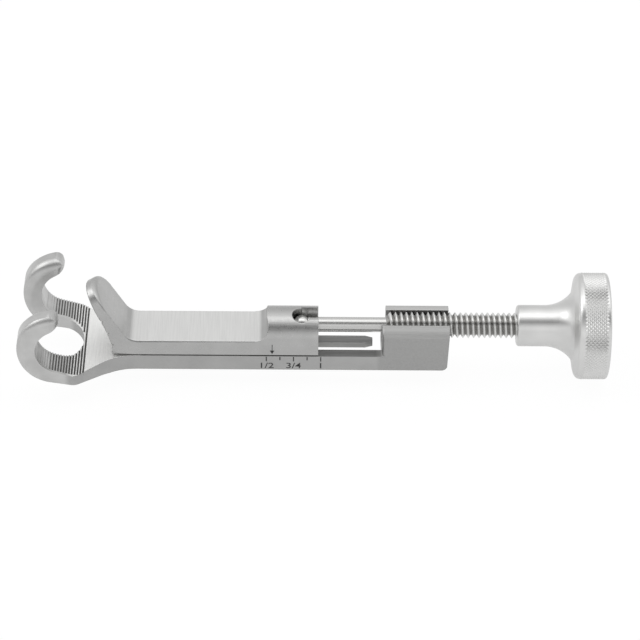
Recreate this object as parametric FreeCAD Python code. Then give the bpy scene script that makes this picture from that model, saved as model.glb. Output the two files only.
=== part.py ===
import FreeCAD, Part
import math
import os

os.makedirs("parts", exist_ok=True)
V = FreeCAD.Vector

# Bone holding forceps, about 14 cm long, in millimetres.
# The origin is on the screw's axis, half way along the instrument.
# +X points to the knob and -X to the hooks, +Z is up, and the scale is on the -Y side.

# Body shared by the frame and the sliding jaw
BODY_WIDTH = 12.6
RUNWAY_Z = -4.75
RAIL_HEIGHT = 3.85
SLIDE_GAP = 0.06

# Fork at the front of the frame
FLARE_START_X = -41.45
FLARE_RADIUS = 12.0
FLARE_ANGLE = 42.0
SHOULDER_RADIUS = 2.5
CROTCH_X = -53.85
CROTCH_DEPTH = 4.9
UNDERSIDE_BREAK_X = -47.75
TINE_RISE_ANGLE = 16.0

# Pair of hooks, with the inner flanks leaning apart and all edges rounded towards the tips
HOOK_WIDTH = 7.3
HOOK_GAP = 14.6
HOOK_OUTER_RADIUS = 8.8
HOOK_OUTER_X = -59.6
HOOK_OUTER_Z = 2.25
HOOK_INNER_RADIUS = 5.9
HOOK_INNER_X = -58.25
HOOK_INNER_Z = 2.1
TIP_INNER_ANGLE = 97.0
TIP_OUTER_ANGLE = 98.0
TIP_CORNER_ROUND = 1.7
TIP_CORNER_Z = 7.0
HOOK_EDGE_ROUND = 2.8
HOOK_EDGE_FADE = 1.25
HOOK_EDGE_ANGLE = 120.0
HOOK_DRAFT = 4.6
HOOK_DRAFT_Z = -3.6

# Slot that guides the foot, stepped so that the foot can't lift out
SLOT_FRONT_X = -37.25
SLOT_WIDTH = 7.1
SLOT_STEP_WIDTH = 9.6
SLOT_STEP_DEPTH = 1.7
FAR_RAIL_END_X = -0.55

# Block with the open half nut
BLOCK_FRONT_X = 15.95
BLOCK_LENGTH = 15.7
BLOCK_TOP_Z = 2.05
BLOCK_TOP_ROUND = 2.15
BLOCK_FRONT_ROUND = 1.1
FAR_WALL_SETBACK = 1.0
BLOCK_END_ROUND = 0.5
BLOCK_HEEL_ROUND = 1.2
BLOCK_END_LEAN = 0.4

# Sliding jaw
JAW_FRONT_X = -46.95
JAW_FACE_BREAK_Z = -2.1
JAW_FACE_FOOT_LEAN = 13.0
JAW_FACE_RADIUS = 35.3
JAW_BACK_LEAN = 31.4
JAW_BACK_FOOT_X = -43.05
JAW_BACK_ROUND = 4.0
JAW_TOP_CENTRE_Z = 6.7
JAW_TOP_ROUND = 1.5
JAW_EDGE_BEVEL = 0.35
SADDLE_Z = -0.7
SCOOP_END_X = -10.65
SCOOP_RADIUS = 3.0
HOUSING_END_X = 1.05
HOUSING_CENTRE_Z = -2.39
TOOTH_PITCH = 3.27
TOOTH_DEPTH = 0.5
TOOTH_HALF_MOUTH = 0.3
TOOTH_FIRST_Z = -1.8
TOOTH_COUNT = 3

# Ball swivel at the front end of the screw
BALL_RADIUS = 2.15
BALL_X = -2.85
BALL_GAP = 0.08
BALL_FACE_RELIEF = 0.2
KEYHOLE_GAP = 0.1
KEYHOLE_TILT = 20.0
NECK_GAP = 0.1
NECK_SLOT_TILT = 12.0

# Screw
SHANK_RADIUS = 1.75
SCREW_RADIUS = 3.0
THREAD_START_X = 16.95
THREAD_CHAMFER = 0.6
NUT_GAP = 0.1
NOSE_RADIUS = 1.0
NOSE_HEAD_RADIUS = 1.25
NOSE_HEAD_LENGTH = 0.35
NOSE_SINK = 0.6
RUNNING_GAP = 0.05
TENON_RADIUS = 2.0
TENON_LENGTH = 10.0

# Knob
HUB_START_X = 47.45
HUB_RADIUS = 4.85
HUB_LENGTH = 6.6
HUB_EDGE_BEVEL = 0.7
KNOB_RADIUS = 12.5
KNOB_BACK_X = 68.65
RIM_LENGTH = 7.6
RIM_EDGE_WIDTH = 1.5
RIM_EDGE_DEPTH = 0.45
TRUMPET_RADIUS = 7.9
TRUMPET_SETBACK = 0.6
PIN_RADIUS = 0.75
PIN_RECESS = 0.1
PRESS_GAP = 0.02

# Guide foot under the jaw, with its tail bar, and its two screws
FOOT_FRONT_X = -23.05
FOOT_LENGTH = 16.5
FOOT_SIDE_GAP = 0.1
FOOT_RECESS = 0.3
BAR_WIDTH = 2.8
BAR_HEIGHT = 1.43
KEY_HEIGHT = 0.46
BAR_END_X = 13.85
BAR_LEAD_LENGTH = 1.7
BAR_LEAD_DEPTH = 0.7
KEY_GAP = 0.05
GROOVE_GAP = 0.2
GROOVE_END_GAP = 1.0
FOOT_SCREW_RADIUS = 1.0
FOOT_SCREW_HEAD = 1.9
FOOT_SCREW_HEAD_HEIGHT = 0.9
FOOT_SCREW_INSET = 3.5
FOOT_SCREW_COVER = 0.9

# How far the jaw slides back to its fully open place, and its clearance between the tines
OPEN_TRAVEL = 11.5
JAW_PATH_GAP = 0.1

# Helpers: longer than anything here, how far a cut runs past its face, and next to nothing
REACH = 80.0
OVERCUT = 1.0
SLIVER = 0.02

# Sizes that follow from the ones above
HALF_WIDTH = BODY_WIDTH / 2
FRAME_BOTTOM_Z = RUNWAY_Z - RAIL_HEIGHT
JAW_BOTTOM_Z = RUNWAY_Z + SLIDE_GAP
HALF_SPAN = HOOK_GAP / 2 + HOOK_WIDTH
BLOCK_END_X = BLOCK_FRONT_X + BLOCK_LENGTH
TROUGH_RADIUS = SCREW_RADIUS + NUT_GAP
STEP_Z = RUNWAY_Z - SLOT_STEP_DEPTH
SLOT_NOSE_X = SLOT_FRONT_X + SLOT_WIDTH / 2
CROTCH_CENTRE_X = CROTCH_X - CROTCH_DEPTH
SCOOP_X = SCOOP_END_X - SCOOP_RADIUS
HOUSING_TOP_Z = HOUSING_CENTRE_Z + HALF_WIDTH
BAR_TOP_Z = JAW_BOTTOM_Z + KEY_HEIGHT
BAR_BOTTOM_Z = BAR_TOP_Z - BAR_HEIGHT
FOOT_END_X = FOOT_FRONT_X + FOOT_LENGTH
FOOT_NECK_HALF = SLOT_WIDTH / 2 - FOOT_SIDE_GAP
FOOT_NOSE_X = FOOT_FRONT_X + FOOT_NECK_HALF
FOOT_BOTTOM_Z = FRAME_BOTTOM_Z + FOOT_RECESS
FOOT_SCREW_PLACES = [FOOT_FRONT_X + FOOT_SCREW_INSET, FOOT_END_X - FOOT_SCREW_INSET]
FOOT_SCREW_TOP_Z = SADDLE_Z - FOOT_SCREW_COVER
BALL_FLAT = math.sqrt(BALL_RADIUS ** 2 - SHANK_RADIUS ** 2) + BALL_FACE_RELIEF
BALL_BORE_RADIUS = NOSE_RADIUS + RUNNING_GAP
NOSE_SEAT = BALL_RADIUS - NOSE_HEAD_LENGTH - NOSE_SINK
BAR_BLEND_X = BLOCK_FRONT_X + BLOCK_FRONT_ROUND + OVERCUT
ALONG_Y = V(0, 1, 0)
ALONG_X = V(1, 0, 0)
ALONG_Z = V(0, 0, 1)


def line(a, b):
    return Part.LineSegment(a, b).toShape()


def arc(a, middle, b):
    return Part.Arc(a, middle, b).toShape()


def on_circle(centre, radius, degrees, u, v):
    """Point of a circle in the plane of u and v, at an angle from u."""
    angle = math.radians(degrees)
    return centre + u * (radius * math.cos(angle)) + v * (radius * math.sin(angle))


def circle_arc(centre, radius, start, end, u, v):
    """Arc from one angle to another in the plane of u and v."""
    points = [on_circle(centre, radius, a, u, v) for a in (start, (start + end) / 2, end)]
    return arc(*points)


def face_of(edges):
    return Part.Face(Part.Wire(edges))


def closed_face(points):
    """Face inside a closed run of straight lines."""
    return face_of([line(a, b) for a, b in zip(points, points[1:] + points[:1])])


def slab(x0, x1, y0, y1, z0, z1):
    return Part.makeBox(x1 - x0, y1 - y0, z1 - z0, V(x0, y0, z0))


def across(face, half_width):
    """Solid from a side view, centred on the plane of symmetry."""
    face.translate(ALONG_Y * -half_width)
    return face.extrude(ALONG_Y * (2 * half_width))


def upright(edge):
    return abs(edge.tangentAt(edge.FirstParameter).z) > 0.99


def rod(radius, start, end, x=None, direction=ALONG_X):
    """Round bar along X, or along another direction through a place on X."""
    base = direction * start
    if x is not None:
        base = base + ALONG_X * x
    return Part.makeCylinder(radius, end - start, base, direction)


def save(shape, name):
    shape.exportStep("parts/" + name + ".step")


# Frame

def fork_outline():
    """Top view of the frame: straight body, flared fork, two tines and the round crotch."""
    edge_y = HALF_WIDTH
    turn = math.radians(FLARE_ANGLE)
    bend_x = FLARE_START_X - FLARE_RADIUS * math.sin(turn)
    bend_y = edge_y + FLARE_RADIUS * (1 - math.cos(turn))
    corner_x = bend_x - (HALF_SPAN - bend_y) / math.tan(turn)
    trim = SHOULDER_RADIUS * math.tan(turn / 2)
    front_x = HOOK_OUTER_X - HOOK_OUTER_RADIUS - OVERCUT
    end_x = BAR_BLEND_X
    inner_y = HOOK_GAP / 2

    def side(mirror):
        up = ALONG_Y * mirror
        flare_centre = V(FLARE_START_X, 0, 0) + up * (edge_y + FLARE_RADIUS)
        shoulder_centre = V(corner_x - trim, 0, 0) + up * (HALF_SPAN - SHOULDER_RADIUS)
        slope_start = V(bend_x, 0, 0) + up * bend_y
        slope_end = on_circle(shoulder_centre, SHOULDER_RADIUS, 90 - FLARE_ANGLE, ALONG_X, up)
        shoulder_end = shoulder_centre + up * SHOULDER_RADIUS
        return [
            line(V(end_x, 0, 0) + up * edge_y, V(FLARE_START_X, 0, 0) + up * edge_y),
            circle_arc(flare_centre, FLARE_RADIUS, -90, -90 - FLARE_ANGLE, ALONG_X, up),
            line(slope_start, slope_end),
            circle_arc(shoulder_centre, SHOULDER_RADIUS, 90 - FLARE_ANGLE, 90, ALONG_X, up),
            line(shoulder_end, V(front_x, 0, 0) + up * HALF_SPAN),
            line(V(front_x, 0, 0) + up * HALF_SPAN, V(front_x, 0, 0) + up * inner_y),
            line(V(front_x, 0, 0) + up * inner_y, V(CROTCH_CENTRE_X, 0, 0) + up * inner_y),
        ]

    centre = V(CROTCH_CENTRE_X, 0, 0)
    ellipse = Part.Ellipse(centre + ALONG_Y * inner_y, centre + ALONG_X * CROTCH_DEPTH, centre)
    crotch = Part.ArcOfEllipse(ellipse, 0, math.pi).toShape()
    end = line(V(end_x, edge_y, 0), V(end_x, -edge_y, 0))
    return face_of(Part.__sortEdges__(side(1) + [crotch, end] + side(-1)))


def hook_inner_point(degrees):
    return on_circle(V(HOOK_INNER_X, 0, HOOK_INNER_Z), HOOK_INNER_RADIUS, degrees, ALONG_X, ALONG_Z)


def hook_outer_point(degrees):
    return on_circle(V(HOOK_OUTER_X, 0, HOOK_OUTER_Z), HOOK_OUTER_RADIUS, degrees, ALONG_X, ALONG_Z)


def underside_angle():
    """Angle on the outer circle where a line from the underside's break meets it smoothly."""
    dx = HOOK_OUTER_X - UNDERSIDE_BREAK_X
    dz = HOOK_OUTER_Z - FRAME_BOTTOM_Z
    to_centre = math.degrees(math.atan2(dz, dx))
    half = math.degrees(math.asin(HOOK_OUTER_RADIUS / math.hypot(dx, dz)))
    return to_centre + half + 90


def tip_circle():
    """Centre and radius of the tip's round end, which runs smoothly out of the outer curve."""
    outer_tip = hook_outer_point(TIP_OUTER_ANGLE)
    outward = (outer_tip - V(HOOK_OUTER_X, 0, HOOK_OUTER_Z)).normalize()
    chord = outer_tip - hook_inner_point(TIP_INNER_ANGLE)
    radius = chord.dot(chord) / (2 * chord.dot(outward))
    return outer_tip - outward * radius, radius


def frame_side():
    """Side view of the frame without its block: underside, hook, rounded tip and runway."""
    rise_angle = 270 - TINE_RISE_ANGLE
    inner_end = hook_inner_point(rise_angle)
    inner_tip = hook_inner_point(TIP_INNER_ANGLE)
    outer_end = hook_outer_point(underside_angle())
    rise = (inner_end.z - RUNWAY_Z) / math.tan(math.radians(TINE_RISE_ANGLE))
    end_x = BAR_BLEND_X
    inner_centre = V(HOOK_INNER_X, 0, HOOK_INNER_Z)
    outer_centre = V(HOOK_OUTER_X, 0, HOOK_OUTER_Z)
    tip_centre, tip_round = tip_circle()
    to_inner = inner_tip - tip_centre
    tip_start = math.degrees(math.atan2(to_inner.z, to_inner.x))
    rise_start = V(inner_end.x + rise, 0, RUNWAY_Z)
    underside_break = V(UNDERSIDE_BREAK_X, 0, FRAME_BOTTOM_Z)
    return face_of([
        line(V(end_x, 0, RUNWAY_Z), rise_start),
        line(rise_start, inner_end),
        circle_arc(inner_centre, HOOK_INNER_RADIUS, rise_angle, TIP_INNER_ANGLE, ALONG_X, ALONG_Z),
        circle_arc(tip_centre, tip_round, tip_start, TIP_OUTER_ANGLE, ALONG_X, ALONG_Z),
        circle_arc(outer_centre, HOOK_OUTER_RADIUS, TIP_OUTER_ANGLE, underside_angle(), ALONG_X, ALONG_Z),
        line(outer_end, underside_break),
        line(underside_break, V(end_x, 0, FRAME_BOTTOM_Z)),
        line(V(end_x, 0, FRAME_BOTTOM_Z), V(end_x, 0, RUNWAY_Z)),
    ])


def edge_disc(flank_y, inward):
    """Disc that rounds one side of a hook: it holds the hook closely round the bend and lets go
    of it towards the tine, so that the rounding fades out there."""
    angle = math.radians(HOOK_EDGE_ANGLE)
    centre = V(HOOK_OUTER_X, flank_y, HOOK_OUTER_Z)
    centre -= V(math.cos(angle), 0, math.sin(angle)) * HOOK_EDGE_FADE
    radius = HOOK_OUTER_RADIUS + HOOK_EDGE_FADE + SLIVER
    growth = REACH * math.tan(math.radians(HOOK_DRAFT))
    disc = Part.makeCone(radius, radius + growth, REACH, centre, ALONG_Y * inward)
    rim = [e for e in disc.Edges if abs(e.CenterOfMass.y - flank_y) < SLIVER and e.Length > radius]
    return disc.makeFillet(HOOK_EDGE_ROUND, rim)


def hook_limits():
    """Space that both hooks and the tines are trimmed to: rounded edges, leaning inner flanks
    and round corners at the tips."""
    inner_y = HOOK_GAP / 2
    leaning = edge_disc(inner_y, 1)
    leaning.rotate(V(0, inner_y, HOOK_DRAFT_Z), ALONG_X, -HOOK_DRAFT)
    hooks = edge_disc(HALF_SPAN, -1).common(leaning)
    low = slab(-REACH, REACH, 0, REACH, -REACH, TIP_CORNER_Z)
    tip_y = inner_y + (TIP_CORNER_Z - HOOK_DRAFT_Z) * math.tan(math.radians(HOOK_DRAFT))
    tip_centre, tip_round = tip_circle()
    tip_x = tip_centre.x + tip_round
    tip = slab(-REACH, tip_x, tip_y, HALF_SPAN, TIP_CORNER_Z, REACH)
    corners = [e for e in tip.Edges if upright(e) and abs(e.CenterOfMass.x - tip_x) < SLIVER]
    hooks = hooks.common(low.fuse(tip.makeFillet(TIP_CORNER_ROUND, corners)))
    rest = slab(CROTCH_CENTRE_X, REACH, 0, REACH, -REACH, HOOK_INNER_Z)
    one = hooks.fuse(rest)
    return one.fuse(one.mirror(V(0, 0, 0), ALONG_Y))


def block():
    """Block with the open trough that holds the half nut's thread."""
    lean = BLOCK_END_LEAN * (BLOCK_HEEL_ROUND / (BLOCK_TOP_Z - FRAME_BOTTOM_Z))
    heel_x = BLOCK_END_X - BLOCK_END_LEAN
    heel_top = V(heel_x + lean, 0, FRAME_BOTTOM_Z + BLOCK_HEEL_ROUND)
    heel_front = V(heel_x - BLOCK_HEEL_ROUND, 0, FRAME_BOTTOM_Z)
    bulge = BLOCK_HEEL_ROUND * (1 - math.sqrt(0.5))
    heel_middle = V(heel_x - bulge, 0, FRAME_BOTTOM_Z + bulge)
    side = face_of([
        line(V(BLOCK_FRONT_X, 0, FRAME_BOTTOM_Z), heel_front),
        arc(heel_front, heel_middle, heel_top),
        line(heel_top, V(BLOCK_END_X, 0, BLOCK_TOP_Z)),
        line(V(BLOCK_END_X, 0, BLOCK_TOP_Z), V(BLOCK_FRONT_X, 0, BLOCK_TOP_Z)),
        line(V(BLOCK_FRONT_X, 0, BLOCK_TOP_Z), V(BLOCK_FRONT_X, 0, FRAME_BOTTOM_Z)),
    ])
    return across(side, HALF_WIDTH).common(block_plan()).common(block_end())


def block_plan():
    """Top view of the block, with its upright corners rounded and its far wall set back."""
    box = slab(BLOCK_FRONT_X, BLOCK_END_X, -HALF_WIDTH, HALF_WIDTH, FRAME_BOTTOM_Z, BLOCK_TOP_Z)
    middle_x = BLOCK_FRONT_X + BLOCK_LENGTH / 2
    corners = [e for e in box.Edges if upright(e)]
    box = box.makeFillet(BLOCK_FRONT_ROUND, [e for e in corners if e.CenterOfMass.x < middle_x])
    corners = [e for e in box.Edges if upright(e)]
    box = box.makeFillet(BLOCK_END_ROUND, [e for e in corners if e.CenterOfMass.x > middle_x])
    far_x = BLOCK_FRONT_X + FAR_WALL_SETBACK
    return box.cut(slab(BLOCK_FRONT_X - OVERCUT, far_x, 0, BODY_WIDTH, -TROUGH_RADIUS, REACH))


def block_end():
    """End view of the block: rounded shoulders and the open trough between them."""
    r = BLOCK_TOP_ROUND
    x = BLOCK_FRONT_X - OVERCUT
    left = V(x, -HALF_WIDTH + r, BLOCK_TOP_Z - r)
    right = V(x, HALF_WIDTH - r, BLOCK_TOP_Z - r)
    t = TROUGH_RADIUS
    edges = [
        line(V(x, -HALF_WIDTH, FRAME_BOTTOM_Z), V(x, -HALF_WIDTH, BLOCK_TOP_Z - r)),
        circle_arc(left, r, 180, 90, ALONG_Y, ALONG_Z),
        line(left + ALONG_Z * r, V(x, -t, BLOCK_TOP_Z)),
        line(V(x, -t, BLOCK_TOP_Z), V(x, -t, 0)),
        circle_arc(V(x, 0, 0), t, 180, 360, ALONG_Y, ALONG_Z),
        line(V(x, t, 0), V(x, t, BLOCK_TOP_Z)),
        line(V(x, t, BLOCK_TOP_Z), right + ALONG_Z * r),
        circle_arc(right, r, 90, 0, ALONG_Y, ALONG_Z),
        line(V(x, HALF_WIDTH, BLOCK_TOP_Z - r), V(x, HALF_WIDTH, FRAME_BOTTOM_Z)),
        line(V(x, HALF_WIDTH, FRAME_BOTTOM_Z), V(x, -HALF_WIDTH, FRAME_BOTTOM_Z)),
    ]
    return face_of(edges).extrude(ALONG_X * (BLOCK_LENGTH + 2 * OVERCUT))


def slot_cut(width, top_z):
    """Slot with a round front end, open at the bottom, that stops at the block."""
    bottom_z = FRAME_BOTTOM_Z - OVERCUT
    straight = slab(SLOT_NOSE_X, BLOCK_FRONT_X, -width / 2, width / 2, bottom_z, top_z)
    return straight.fuse(rod(width / 2, bottom_z, top_z, SLOT_NOSE_X, ALONG_Z))


def frame():
    body = across(frame_side(), HALF_SPAN + OVERCUT)
    outline = fork_outline()
    outline.translate(ALONG_Z * -REACH)
    body = body.common(outline.extrude(ALONG_Z * (2 * REACH)))
    body = body.common(hook_limits())
    path = HALF_WIDTH + JAW_PATH_GAP
    body = body.cut(slab(-REACH, BLOCK_FRONT_X, -path, path, RUNWAY_Z, REACH))
    body = body.cut(slot_cut(SLOT_WIDTH, RUNWAY_Z + OVERCUT))
    body = body.cut(slot_cut(SLOT_STEP_WIDTH, STEP_Z))
    body = body.cut(slab(FAR_RAIL_END_X, BLOCK_FRONT_X, 0, BODY_WIDTH, -REACH, REACH))
    body = body.fuse(block())
    groove_end = BAR_END_X + OPEN_TRAVEL + GROOVE_END_GAP
    groove_bottom = BAR_BOTTOM_Z - GROOVE_GAP
    groove_top = OVERCUT - TROUGH_RADIUS
    half = BAR_WIDTH / 2 + GROOVE_GAP
    body = body.cut(slab(BLOCK_FRONT_X - OVERCUT, groove_end, -half, half, groove_bottom, groove_top))
    return body.removeSplitter()


# Sliding jaw

def face_centre():
    """Centre of the shallow curve of the jaw's face."""
    lean = math.radians(JAW_FACE_FOOT_LEAN)
    foot = V(JAW_FRONT_X, 0, JAW_FACE_BREAK_Z)
    return foot - V(math.cos(lean), 0, math.sin(lean)) * JAW_FACE_RADIUS


def face_lean(z):
    """Lean of the jaw's face from the upright, in degrees, at one height."""
    return math.degrees(math.asin((z - face_centre().z) / JAW_FACE_RADIUS))


def face_point(z):
    return on_circle(face_centre(), JAW_FACE_RADIUS, face_lean(z), ALONG_X, ALONG_Z)


def back_point(z):
    """Point on the flat back of the jaw's plate at one height."""
    return V(JAW_BACK_FOOT_X - (z - SADDLE_Z) * math.tan(math.radians(JAW_BACK_LEAN)), 0, z)


def jaw_blank():
    """Leaning plate with a curved face and a full round top that grows out of the flat saddle."""
    top_z = JAW_TOP_CENTRE_Z + BODY_WIDTH
    foot = back_point(SADDLE_Z)
    reach = JAW_BACK_ROUND * math.tan(math.radians((90 - JAW_BACK_LEAN) / 2))
    blend_start = foot + (back_point(top_z) - foot).normalize() * reach
    blend_end = foot + ALONG_X * reach
    centre = blend_end + ALONG_Z * JAW_BACK_ROUND
    middle = centre + (foot - centre).normalize() * JAW_BACK_ROUND
    side = face_of([
        line(V(JAW_FRONT_X, 0, JAW_BOTTOM_Z), face_point(JAW_FACE_BREAK_Z)),
        circle_arc(face_centre(), JAW_FACE_RADIUS, JAW_FACE_FOOT_LEAN, face_lean(top_z), ALONG_X, ALONG_Z),
        line(face_point(top_z), back_point(top_z)),
        line(back_point(top_z), blend_start),
        arc(blend_start, middle, blend_end),
        line(blend_end, V(SCOOP_X, 0, SADDLE_Z)),
        line(V(SCOOP_X, 0, SADDLE_Z), V(SCOOP_X, 0, JAW_BOTTOM_Z)),
        line(V(SCOOP_X, 0, JAW_BOTTOM_Z), V(JAW_FRONT_X, 0, JAW_BOTTOM_Z)),
    ])
    plate = across(side, HALF_WIDTH).cut(above_round_top())
    back_rim = [e for e in plate.Edges if e.Length > HALF_WIDTH and on_back(e)]
    return plate.makeChamfer(JAW_EDGE_BEVEL, back_rim).common(worn_top())


def on_back(edge):
    """Whether an edge is part of the round rim of the plate's back."""
    circle = isinstance(edge.Curve, Part.Circle)
    return circle and abs(edge.Curve.Radius - HALF_WIDTH) < SLIVER


def leaning_slab(centre, bottom, top):
    """Wide block that leans as the plate's back does, from one height to another above a point."""
    block_shape = slab(-REACH / 2, REACH / 2, -BODY_WIDTH, BODY_WIDTH, bottom, top)
    block_shape.Placement = FreeCAD.Placement(centre, FreeCAD.Rotation(ALONG_Y, -JAW_BACK_LEAN))
    return block_shape


def back_directions():
    """Directions square to the plate's back and up along it."""
    lean = math.radians(JAW_BACK_LEAN)
    return V(math.cos(lean), 0, math.sin(lean)), V(-math.sin(lean), 0, math.cos(lean))


def above_round_top():
    """What lies outside the half circle at the plate's top, square to its back."""
    normal = back_directions()[0]
    centre = back_point(JAW_TOP_CENTRE_Z)
    round_top = Part.makeCylinder(HALF_WIDTH, REACH, centre - normal * (REACH / 2), normal)
    return leaning_slab(centre, 0, BODY_WIDTH).cut(round_top)


def worn_top():
    """Space that the plate's top is trimmed to: a disc with a rounded back rim, set lower than
    the round top, so that the rounding is full at the top and fades out down the sides."""
    normal, up = back_directions()
    centre = back_point(JAW_TOP_CENTRE_Z) - up * JAW_TOP_ROUND
    radius = HALF_WIDTH + JAW_TOP_ROUND + SLIVER
    disc = Part.makeCylinder(radius, REACH / 2, centre, normal * -1)
    rim = [e for e in disc.Edges if e.Length > radius and (e.CenterOfMass - centre).Length < radius / 2]
    return disc.makeFillet(JAW_TOP_ROUND, rim).fuse(leaning_slab(centre, -REACH, 0))


def tooth_groove(z):
    """Narrow groove across the jaw's face at one height."""
    x = face_point(z).x
    outside = x - OVERCUT
    spread = TOOTH_HALF_MOUTH * (OVERCUT + TOOTH_DEPTH) / TOOTH_DEPTH
    profile = closed_face([V(outside, 0, z - spread), V(x + TOOTH_DEPTH, 0, z), V(outside, 0, z + spread)])
    return across(profile, BODY_WIDTH)


def housing():
    """Round-topped housing for the ball, with the scooped end facing the saddle."""
    centre = V(SCOOP_X, 0, HOUSING_CENTRE_Z)
    w = ALONG_Y * HALF_WIDTH
    down = ALONG_Z * (JAW_BOTTOM_Z - HOUSING_CENTRE_Z)
    profile = face_of([
        circle_arc(centre, HALF_WIDTH, 0, 180, ALONG_Y, ALONG_Z),
        line(centre - w, centre - w + down),
        line(centre - w + down, centre + w + down),
        line(centre + w + down, centre + w),
    ])
    solid = profile.extrude(ALONG_X * (HOUSING_END_X - SCOOP_X))
    scoop_centre = V(SCOOP_X, -BODY_WIDTH, SADDLE_Z + SCOOP_RADIUS)
    return solid.cut(Part.makeCylinder(SCOOP_RADIUS, BODY_WIDTH * 2, scoop_centre, ALONG_Y))


def tilted(shape, degrees):
    """Shape turned about the screw's axis towards the side that carries the scale."""
    turned_shape = shape.copy()
    turned_shape.rotate(V(0, 0, 0), ALONG_X, degrees)
    return turned_shape


def ball_seat():
    """Space for the ball, the tilted keyhole above it, and the slot that the screw's neck lies in.
    The slot is relieved towards the scale's side and upright on the far side."""
    top_z = HOUSING_TOP_Z + OVERCUT
    end_x = HOUSING_END_X + OVERCUT
    centre = V(BALL_X, 0, 0)
    neck = SHANK_RADIUS + NECK_GAP
    seat = Part.makeSphere(BALL_RADIUS + BALL_GAP, centre)
    keyhole = tilted(Part.makeCylinder(BALL_RADIUS + KEYHOLE_GAP, top_z, centre), KEYHOLE_TILT)
    slot = slab(BALL_X, end_x, -neck, neck, 0, top_z)
    bottom = rod(neck, BALL_X, end_x)
    return seat.fuse([keyhole, slot, tilted(slot, NECK_SLOT_TILT), bottom])


def sliding_jaw():
    solid = jaw_blank().fuse(housing())
    for i in range(TOOTH_COUNT):
        solid = solid.cut(tooth_groove(TOOTH_FIRST_Z + i * TOOTH_PITCH))
    solid = solid.cut(ball_seat())
    half = BAR_WIDTH / 2 + KEY_GAP
    front_x = FOOT_FRONT_X - KEY_GAP
    end_x = HOUSING_END_X + OVERCUT
    bottom_z = JAW_BOTTOM_Z - OVERCUT
    solid = solid.cut(slab(front_x, end_x, -half, half, bottom_z, BAR_TOP_Z + KEY_GAP))
    for x in FOOT_SCREW_PLACES:
        hole = rod(FOOT_SCREW_RADIUS + PRESS_GAP, JAW_BOTTOM_Z, FOOT_SCREW_TOP_Z + PRESS_GAP, x, ALONG_Z)
        solid = solid.cut(hole)
    return solid.removeSplitter()


# Guide foot

def foot_layer(half, bottom_z, top_z):
    """One layer of the foot, with the same round front end as the slot."""
    straight = slab(FOOT_NOSE_X, FOOT_END_X, -half, half, bottom_z, top_z)
    return straight.fuse(rod(half, bottom_z, top_z, FOOT_NOSE_X, ALONG_Z))


def guide_foot():
    """Stepped foot that runs in the frame's slot, with a key and a tail bar in one piece."""
    flange_half = SLOT_STEP_WIDTH / 2 - FOOT_SIDE_GAP
    neck = foot_layer(FOOT_NECK_HALF, FOOT_BOTTOM_Z, JAW_BOTTOM_Z)
    flange = foot_layer(flange_half, FOOT_BOTTOM_Z, STEP_Z - FOOT_SIDE_GAP)
    bar_half = BAR_WIDTH / 2
    tip_half = bar_half - BAR_LEAD_DEPTH
    outline = closed_face([
        V(FOOT_FRONT_X, -bar_half, BAR_BOTTOM_Z),
        V(BAR_END_X - BAR_LEAD_LENGTH, -bar_half, BAR_BOTTOM_Z),
        V(BAR_END_X, -tip_half, BAR_BOTTOM_Z),
        V(BAR_END_X, tip_half, BAR_BOTTOM_Z),
        V(BAR_END_X - BAR_LEAD_LENGTH, bar_half, BAR_BOTTOM_Z),
        V(FOOT_FRONT_X, bar_half, BAR_BOTTOM_Z),
    ])
    bar = outline.extrude(ALONG_Z * BAR_HEIGHT)
    solid = neck.fuse(flange).fuse(bar)
    for x in FOOT_SCREW_PLACES:
        solid = solid.cut(foot_screw(x, PRESS_GAP))
    return solid.removeSplitter()


def foot_screw(x, gap):
    """Countersunk screw from below, or the hole for it with a gap added."""
    shank = rod(FOOT_SCREW_RADIUS + gap, FOOT_BOTTOM_Z, FOOT_SCREW_TOP_Z, x, ALONG_Z)
    head = Part.makeCone(
        FOOT_SCREW_HEAD + gap, FOOT_SCREW_RADIUS + gap, FOOT_SCREW_HEAD_HEIGHT, V(x, 0, FOOT_BOTTOM_Z))
    return shank.fuse(head)


def foot_screws():
    return Part.makeCompound([foot_screw(x, 0) for x in FOOT_SCREW_PLACES])


# Ball, screw and knob

def turned(points):
    """Solid turned about the screw's axis from (x, radius) points."""
    outline = [V(points[0][0], 0, 0)]
    outline += [V(x, 0, r) for x, r in points]
    outline.append(V(points[-1][0], 0, 0))
    return closed_face(outline).revolve(V(0, 0, 0), ALONG_X, 360)


def ball_end():
    """Ball that swivels in the jaw, bored for the screw's nose and faced where the neck pushes."""
    ball = Part.makeSphere(BALL_RADIUS, V(BALL_X, 0, 0))
    keep = slab(BALL_X - BALL_RADIUS, BALL_X + BALL_FLAT, -REACH, REACH, -REACH, REACH)
    ball = ball.common(keep)
    ball = ball.cut(rod(BALL_BORE_RADIUS, BALL_X - REACH, BALL_X + REACH))
    return ball.cut(rod(NOSE_HEAD_RADIUS + RUNNING_GAP, BALL_X - REACH, BALL_X - NOSE_SEAT))


def screw():
    """Screw in one piece: headed nose, neck, threaded body and tenon for the knob."""
    head_end = BALL_X - NOSE_SEAT - RUNNING_GAP
    neck_start = BALL_X + BALL_FLAT + RUNNING_GAP
    return turned([
        (head_end - NOSE_HEAD_LENGTH, NOSE_HEAD_RADIUS),
        (head_end, NOSE_HEAD_RADIUS),
        (head_end, NOSE_RADIUS),
        (neck_start, NOSE_RADIUS),
        (neck_start, SHANK_RADIUS),
        (THREAD_START_X, SHANK_RADIUS),
        (THREAD_START_X, SCREW_RADIUS - THREAD_CHAMFER),
        (THREAD_START_X + THREAD_CHAMFER, SCREW_RADIUS),
        (HUB_START_X, SCREW_RADIUS),
        (HUB_START_X, TENON_RADIUS),
        (HUB_START_X + TENON_LENGTH, TENON_RADIUS),
    ])


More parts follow.
